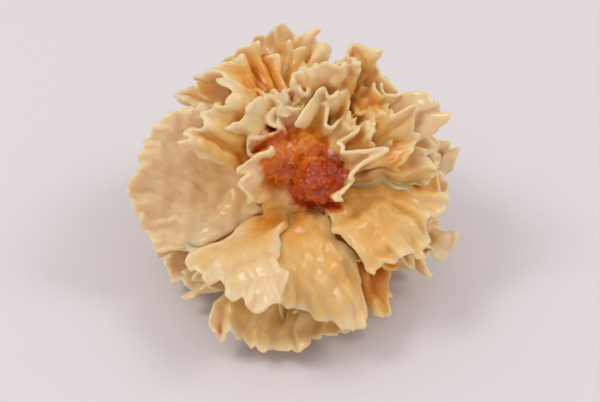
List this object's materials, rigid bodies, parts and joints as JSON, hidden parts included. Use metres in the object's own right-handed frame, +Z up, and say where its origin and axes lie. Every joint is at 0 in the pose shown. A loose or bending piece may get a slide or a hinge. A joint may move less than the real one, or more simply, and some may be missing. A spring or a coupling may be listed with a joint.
{
  "type": "snow fungus",
  "caption": "Dried snow fungus floret: thin ruffled fronds grown as one body round an amber heart, lying on a small flat spot.",
  "frame": {"origin": "middle of the small flat spot that the floret rests on", "axes": "+Z up from the surface that it lies on, -Y to the front, where the amber heart looks up and towards the viewer, +X to the viewer's right"},
  "size_m": [0.0389, 0.039, 0.0289],
  "materials": {
    "fruit_body": "satin"
  },
  "bodies": {
    "root": {"fruit_body": "fruit_body"}
  },
  "joints": []
}
